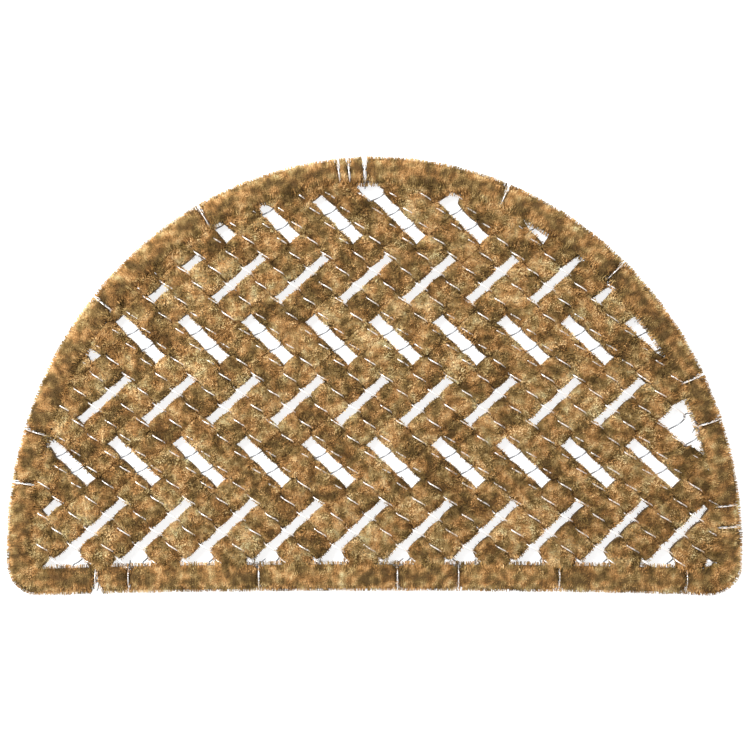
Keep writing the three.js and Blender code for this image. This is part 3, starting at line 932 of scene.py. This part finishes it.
# The brush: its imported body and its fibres, each thicker where they lean over the rod
BRUSH_RADIUS = BORDER_WIDTH / 2
BRUSH_BODY = 0.84
BRUSH_BODY_SIDES = 12
BRUSH_BODY_STEP = 5 * MM
BRUSH_END_SWELL = 0.55
BRUSH_END_ROUND = 4 * MM
BRUSH_PITCH = 7 * MM
BRUSH_WAVER = 7 * MM
BRUSH_ROW_SCATTER = 1.0
BRUSH_FIBRES_PER_METRE = 22500
BRUSH_ROOT = 0.50
BRUSH_FIBRE_RADIUS = 0.36 * MM
ROD_COVER = 0.55
ROD_COVER_BODY = 0.50
ROD_COVER_TURN = 0.5
SLIT_LAP = 1.4 * MM
END_SPLAY = 2.2 * MM
END_SPLAY_REACH = 5 * MM
BORDER_STREAK_WIDTH = 1.8 * MM
# The border's tone is darkened inwards as a painted shade: from this inset, over this width, by this much
BORDER_LIT_WIDTH = 7 * MM
BORDER_FADE_WIDTH = 6 * MM
BORDER_INNER_SHADE = 0.42
BRUSH_SEED = 300
CORE_WIRE_RADIUS = 0.9 * MM
CORE_WIRE_SIDES = 5
CORE_WIRE_STEP = 1.6 * MM
CORE_WIRE_TWIST = 11 * MM


def border_shaded_tone(inset):
    """The border's tone: middling at its outer half, and darker inwards, a painted shade."""
    return 0.5 - BORDER_INNER_SHADE * np.clip((inset - BORDER_LIT_WIDTH) / BORDER_FADE_WIDTH, 0, 1)


def brush_body(start, end, start_flare, end_flare):
    """The dense middle of a length of brush: an ellipse carried along the edge, flat where it rests.

    Its ends are drawn in to a rounded tip, cut back outwards by their flares, and closed.
    """
    count = max(6, int((end - start) / BRUSH_BODY_STEP))
    along = np.linspace(start, end, count)
    from_end = np.minimum(along - start, end - along)
    swell = BRUSH_BODY * np.sqrt(np.clip(BRUSH_END_SWELL + from_end / BRUSH_END_ROUND, 0, 1))[:, None]
    turn = (2 * np.pi * np.arange(BRUSH_BODY_SIDES) / BRUSH_BODY_SIDES)[None, :]
    swell = swell * (1 + ROD_COVER_BODY / BRUSH_BODY * np.clip(np.cos(turn - ROD_COVER_TURN), 0, 1) ** 8)
    inset = BRUSH_RADIUS * (1 + swell * np.cos(turn))
    height = np.clip(MID_HEIGHT + MID_HEIGHT * swell * np.sin(turn), BODY_FOOT, None)
    outer = np.clip(-swell * np.cos(turn), 0, 1)
    along = np.clip(along[:, None], start + start_flare * outer, end - end_flare * outer)
    points = inside_edge(along, inset, height).reshape(-1, 3)
    comb = np.stack([along / BORDER_STREAK_WIDTH, height / STREAK_LENGTH, inset / STREAK_LENGTH], axis=-1)
    ring = np.arange(BRUSH_BODY_SIDES)
    caps = np.stack([ring, (ring + len(points) - BRUSH_BODY_SIDES)[::-1]])
    marks = {"tone": border_shaded_tone(inset).ravel(), "comb": comb.reshape(-1, 3)}
    return (points, [grid_faces(count, BRUSH_BODY_SIDES)[:, ::-1], caps]), marks


def brush_fibres(start, end, start_flare, end_flare, chance):
    """Fibres of a length of brush, in two rows half a turn apart that wind round it once every pitch.

    A tip is at BRUSH_RADIUS * (cos turn inwards, sin turn up) from the middle, and never below the floor.
    The fibres that lean over the rod reach a little further, and the two ends flare open outwards.
    """
    count = int((end - start) * BRUSH_FIBRES_PER_METRE)
    along = chance.uniform(start - SLIT_LAP, end + SLIT_LAP, count)
    row = chance.integers(0, 2, count)
    turn = 2 * np.pi * along / BRUSH_PITCH + np.pi * row + chance.normal(0, BRUSH_ROW_SCATTER, count)
    over_rod = ROD_COVER * np.clip(np.cos(turn - ROD_COVER_TURN), 0, 1) ** 4
    length = chance.uniform(0.96, 1.02, count) + 0.02 * np.sin(along / BRUSH_WAVER) + over_rod
    across = BRUSH_RADIUS * length * np.cos(turn)
    height = MID_HEIGHT + MID_HEIGHT * length * np.sin(turn)
    outer = np.clip(-np.cos(turn), 0, 1)
    along = np.clip(along, start - SLIT_LAP + start_flare * outer, end + SLIT_LAP - end_flare * outer)
    height = np.maximum(height, chance.uniform(0.7, 1.7, count) * MM)
    near_start = np.exp(-(along - start) / END_SPLAY_REACH)
    near_end = np.exp(-(end - along) / END_SPLAY_REACH)
    drawn = along + END_SPLAY * (near_start - near_end)
    tip = inside_edge(along, BRUSH_RADIUS + across, height)
    middle = inside_edge(drawn, np.full(count, BRUSH_RADIUS), MID_HEIGHT)
    root = middle + BRUSH_ROOT * (tip - middle)
    tip[:, :2] += chance.normal(0, 0.35, (count, 2)) * MM
    radius = BRUSH_FIBRE_RADIUS * chance.uniform(0.75, 1.2, count)
    shape = strands(root, tip, radius, chance.uniform(0, 2 * np.pi, count))
    comb = [along / BORDER_STREAK_WIDTH, height / STREAK_LENGTH, (BRUSH_RADIUS + across) / STREAK_LENGTH]
    marks = {
        "tint": np.repeat(chance.uniform(0, 1, count), 4),
        "tone": np.repeat(border_shaded_tone(BRUSH_RADIUS + across), 4),
        "comb": np.repeat(np.stack(comb, axis=1), 4, axis=0),
        # Painted shade: each border fibre darkens towards its root
        "reach": np.tile([1.0, 1.0, 1.0, ROOT_SHADE], count),
    }
    return shape, marks


def core_wires(start, end):
    """The two core wires, each a helix about the brush's middle, half a turn from the other."""
    along = np.linspace(start, end, int((end - start) / CORE_WIRE_STEP))
    wires = []
    for half in (0, np.pi):
        turn = 2 * np.pi * along / CORE_WIRE_TWIST + half
        path = inside_edge(
            along,
            BRUSH_RADIUS + CORE_WIRE_RADIUS * np.cos(turn),
            MID_HEIGHT + CORE_WIRE_RADIUS * np.sin(turn),
        )
        wires.append(wire(path, CORE_WIRE_RADIUS, CORE_WIRE_SIDES, UP))
    return wires


def brush_spans():
    """Where each length of brush starts and ends along the edge, from one tie's slit to the next one's.

    After them come the flares of its two ends.
    """
    along = np.array([tie["along"] for tie in TIES]) * MM
    slit = np.array([tie["slit"] for tie in TIES]) * MM
    flare = np.array([tie["flare"] for tie in TIES]) * MM
    following = np.append(along[1:], along[0] + EDGE_LENGTH)
    return list(zip(along + slit / 2, following - np.roll(slit, -1) / 2, flare, np.roll(flare, -1)))


border_body = coir("coir wound in the border", fibres=False)
border_fibre = coir("coir fibres of the border", fibres=True)
for number, span in enumerate(brush_spans(), 1):
    chance = np.random.default_rng(BRUSH_SEED + number)
    solid = f"border_brush_{number:02d}"
    body, body_marks = brush_body(*span)
    piece(f"border_core_{number:02d}", body, border_body, [solid], body_marks)
    fibres, fibre_marks = brush_fibres(*span, chance)
    piece(f"border_fibres_{number:02d}", fibres, border_fibre, [solid], fibre_marks)

core = joined(core_wires(rod_along[0], rod_along[-1]))
# The core wires: painted shade below 20 mm over the floor, a painted highlight above
piece("border_core_wires", core, galvanised("zinc of the core wires", 20 * MM))

# Ties. In each slit a ring of thin wire is drawn round the brush and the rod, and its two ends are twisted
# together into a short tail that sticks out into the mesh.
TIE_WIRE_RADIUS = 0.5 * MM
TIE_OUTER_INSET = 3.2 * MM
TIE_INNER_INSET = 28.4 * MM
TIE_HALF_HEIGHT = 11.6 * MM
TIE_STEPS = 40
TIE_SIDES = 7
TAIL_LENGTH = 8 * MM
TAIL_RISE = 3 * MM
TAIL_TWIST = 4.5 * MM
TAIL_STEPS = 14
TAIL_SIDES = 5
TAIL_SEED = 41


def tie_ring(along):
    """A ring in the plane across the border: an ellipse of cos turn inwards and sin turn up."""
    turn = 2 * np.pi * np.arange(TIE_STEPS) / TIE_STEPS
    middle = (TIE_OUTER_INSET + TIE_INNER_INSET) / 2
    inset = middle + (TIE_INNER_INSET - TIE_OUTER_INSET) / 2 * np.cos(turn)
    height = MID_HEIGHT + TIE_HALF_HEIGHT * np.sin(turn)
    path = inside_edge(np.full(TIE_STEPS, along), inset, height)
    return wire(path, TIE_WIRE_RADIUS, TIE_SIDES, np.append(edge_ways(along)[0], 0), closed=True)


def tie_tail(along, lean):
    """The ring's two ends twisted together: two helices half a turn apart, led inwards and aside."""
    t = np.linspace(0, 1, TAIL_STEPS)
    ends = []
    for half in (0, np.pi):
        turn = 2 * np.pi * t * TAIL_LENGTH / TAIL_TWIST + half
        path = inside_edge(
            along + lean * TAIL_LENGTH * t + TIE_WIRE_RADIUS * np.cos(turn),
            TIE_INNER_INSET + TAIL_LENGTH * 0.7 * t,
            MID_HEIGHT + TAIL_RISE * t + TIE_WIRE_RADIUS * np.sin(turn),
        )
        ends.append(wire(path, TIE_WIRE_RADIUS * 0.9, TAIL_SIDES, UP))
    return ends


# The ties: painted shade below 15 mm over the floor, a painted highlight above
tie_zinc = galvanised("zinc of the ties", 15 * MM)
leans = np.random.default_rng(TAIL_SEED).uniform(-0.9, 0.9, len(TIES))
for number, (tie, lean) in enumerate(zip(TIES, leans), 1):
    along = tie["along"] * MM
    shape = joined([tie_ring(along), *tie_tail(along, lean)])
    piece(f"tie_{number:02d}", shape, tie_zinc, [f"tie_wire_{number:02d}"])

# The place where the mat is shown: a plain white floor, a soft even light and one large lamp, and the camera
# straight above with a long lens.
FLOOR_SIZE = 6.0
FLOOR_DROP = 0.3 * MM
FLOOR_GREY = (0.35, 0.35, 0.35, 1)
FLOOR_GLOW = 0.80
WHITE = (1, 1, 1, 1)
SKY_LIGHT = 1.25
LAMP_SIZE = 0.9
LAMP_WATTS = 84
LAMP_PLACE = (-0.9, 0.8, 1.9)
CAMERA_HEIGHT = 1.6
CAMERA_X = 0.5 * MM
CAMERA_Y = 1.0 * MM
FRAME_WIDTH = 777.5 * MM
SENSOR = 36.0

bpy.ops.mesh.primitive_plane_add(size=FLOOR_SIZE, location=(0, 0, -FLOOR_DROP))
floor = bpy.context.object
floor.name = "floor"
floor_finish, floor_shader, _ = new_finish("white floor", 0.9)
floor_shader.inputs["Base Color"].default_value = FLOOR_GREY
floor_shader.inputs["Emission Color"].default_value = WHITE
floor_shader.inputs["Emission Strength"].default_value = FLOOR_GLOW
floor.data.materials.append(floor_finish)

world = bpy.data.worlds.new("soft light")
world.use_nodes = True
world.node_tree.nodes["Background"].inputs["Color"].default_value = WHITE
world.node_tree.nodes["Background"].inputs["Strength"].default_value = SKY_LIGHT
bpy.context.scene.world = world

lamp_data = bpy.data.lights.new("large lamp", "AREA")
lamp_data.shape = "DISK"
lamp_data.size = LAMP_SIZE
lamp_data.energy = LAMP_WATTS
lamp = bpy.data.objects.new("large lamp", lamp_data)
lamp.location = LAMP_PLACE
bpy.context.collection.objects.link(lamp)
lamp.rotation_mode = "QUATERNION"
lamp.rotation_quaternion = (-lamp.location).to_track_quat("-Z", "Y")

camera_data = bpy.data.cameras.new("camera above")
camera_data.sensor_width = SENSOR
camera_data.lens = SENSOR * (CAMERA_HEIGHT - MID_HEIGHT) / FRAME_WIDTH
camera = bpy.data.objects.new("camera above", camera_data)
camera.location = (CAMERA_X, CAMERA_Y, CAMERA_HEIGHT)
bpy.context.collection.objects.link(camera)
bpy.context.scene.camera = camera
bpy.context.scene.view_settings.view_transform = "Standard"
